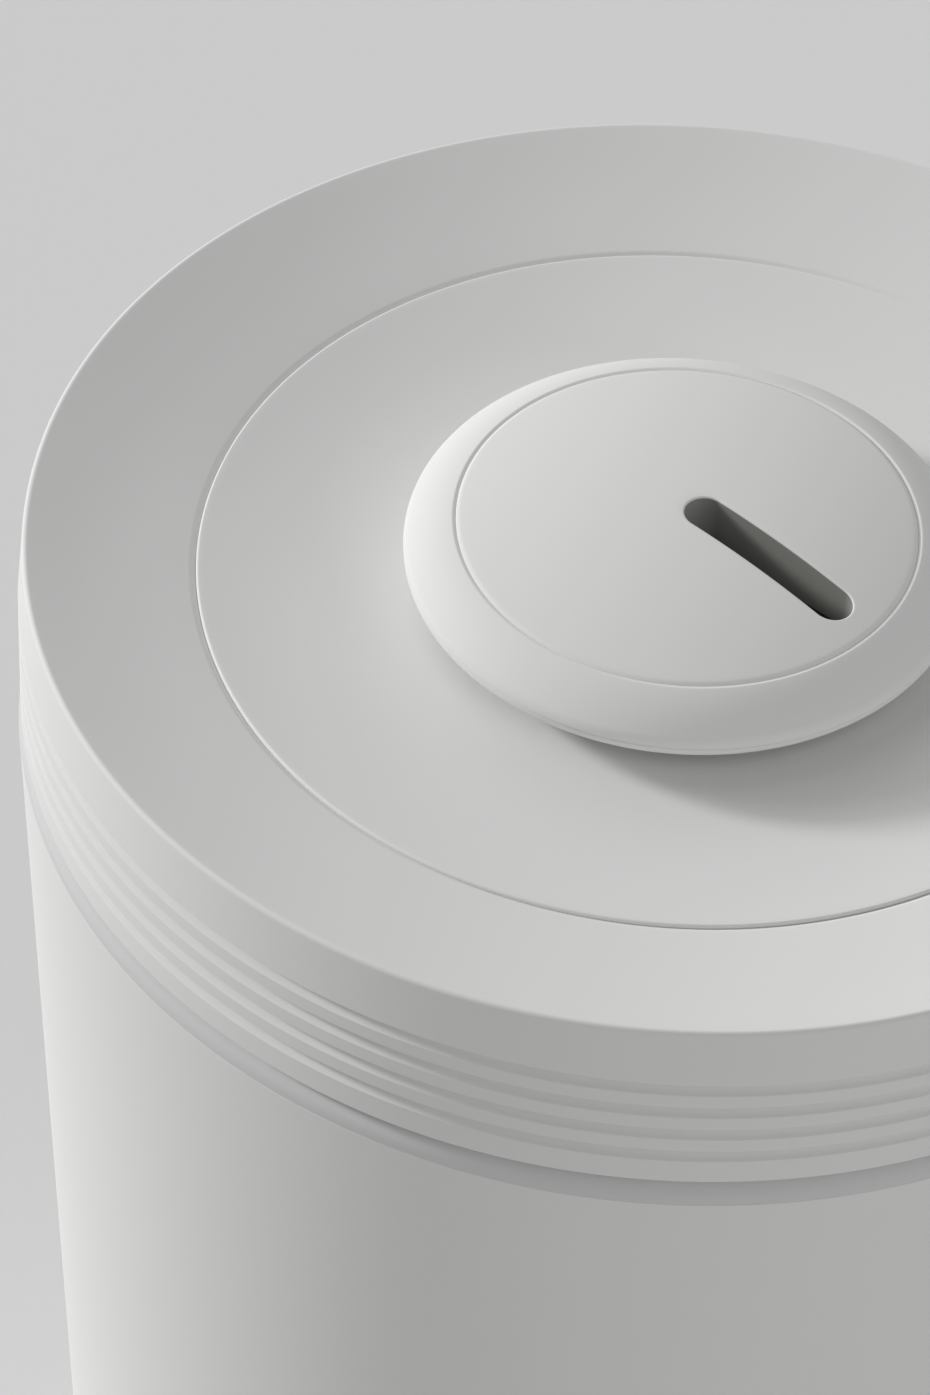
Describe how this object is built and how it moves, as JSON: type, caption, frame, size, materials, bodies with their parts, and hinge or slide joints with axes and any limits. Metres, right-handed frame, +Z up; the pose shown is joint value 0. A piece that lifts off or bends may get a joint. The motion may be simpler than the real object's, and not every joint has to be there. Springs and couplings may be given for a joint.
{
  "type": "air purifier",
  "caption": "Round tapered air purifier with a ribbed lift-off head, funnel-shaped outlet dish and a floating dome that holds a press-and-turn dial with a radial slot.",
  "frame": {"origin": "floor point under the vertical axis, on the plane of the feet", "axes": "+Z up along the fan's axis, -Y towards the front, power inlet on +Y"},
  "size_m": [0.2431, 0.2432, 0.3794],
  "materials": {
    "white_shell": "fine satin moulding, very pale neutral white",
    "grey_band": "fine satin moulding, very pale grey",
    "grey_plastic": "moulded grey",
    "black_plastic": "matt black",
    "dark_plastic": "dark grey moulding",
    "rubber": "soft matt",
    "steel": "turned steel",
    "motor_alloy": "die cast",
    "laminations": "stacked sheet, dark",
    "pleat_paper": "pleated fibre sheet",
    "carbon": "black carbon felt",
    "mesh_fabric": "fine grey mesh",
    "circuit_board": "solder mask"
  },
  "bodies": {
    "canister": {"body_shell": "white_shell", "neck_ring": "grey_band", "base_plate": "grey_plastic", "rubber_feet": "rubber", "base_screws": "steel"},
    "filter": {"filter_media": "pleat_paper", "filter_top_cap": "grey_plastic", "filter_bottom_cap": "grey_plastic", "carbon_core": "carbon", "pre_filter": "mesh_fabric", "filter_gasket": "rubber", "pull_strap": "mesh_fabric"},
    "head": {"lid_ring": "white_shell", "outlet_dish": "white_shell", "fan_housing": "grey_plastic", "inlet_plate": "grey_plastic", "inlet_screws": "steel", "lid_screws": "steel", "head_seal": "rubber", "guide_vanes": "grey_plastic", "motor_can": "motor_alloy", "stator_core": "laminations", "lower_bearing": "steel", "upper_bearing": "steel", "stem": "grey_plastic", "outlet_guard": "grey_plastic", "dome_ring": "white_shell", "dome_base": "white_shell", "board_cup": "white_shell", "dome_screws": "steel", "control_board": "circuit_board", "encoder_body": "black_plastic", "main_board": "circuit_board", "particle_sensor": "black_plastic", "power_inlet": "black_plastic"},
    "rotor": {"impeller": "grey_plastic", "motor_shaft": "steel", "rotor_magnet": "laminations"},
    "plunger": {"encoder_shaft": "steel"},
    "dial": {"dial_disc": "white_shell", "pointer_liner": "dark_plastic", "dial_carrier": "black_plastic"}
  },
  "joints": [
    {"name": "head_lift", "type": "slide", "parent": "canister", "child": "head", "axis": [0, 0, 1], "range_m": [0, 0.18]},
    {"name": "filter_lift", "type": "slide", "parent": "canister", "child": "filter", "axis": [0, 0, 1], "range_m": [0, 0.09]},
    {"name": "fan_spin", "type": "hinge", "parent": "head", "child": "rotor", "pos_m": [0, 0, 0.21], "axis": [0, 0, 1], "continuous": true},
    {"name": "dial_press", "type": "slide", "parent": "head", "child": "plunger", "axis": [0, 0, -1], "range_m": [0, 0.0008], "stiffness_N_per_m": 1500, "springref_m": -0.001},
    {"name": "dial_turn", "type": "hinge", "parent": "plunger", "child": "dial", "pos_m": [0, 0, 0.3677], "axis": [0, 0, 1], "range_deg": [-150, 150]}
  ],
  "couplings": [
    {"joint": "filter_lift", "follows": "head_lift", "ratio": 0.5}
  ]
}
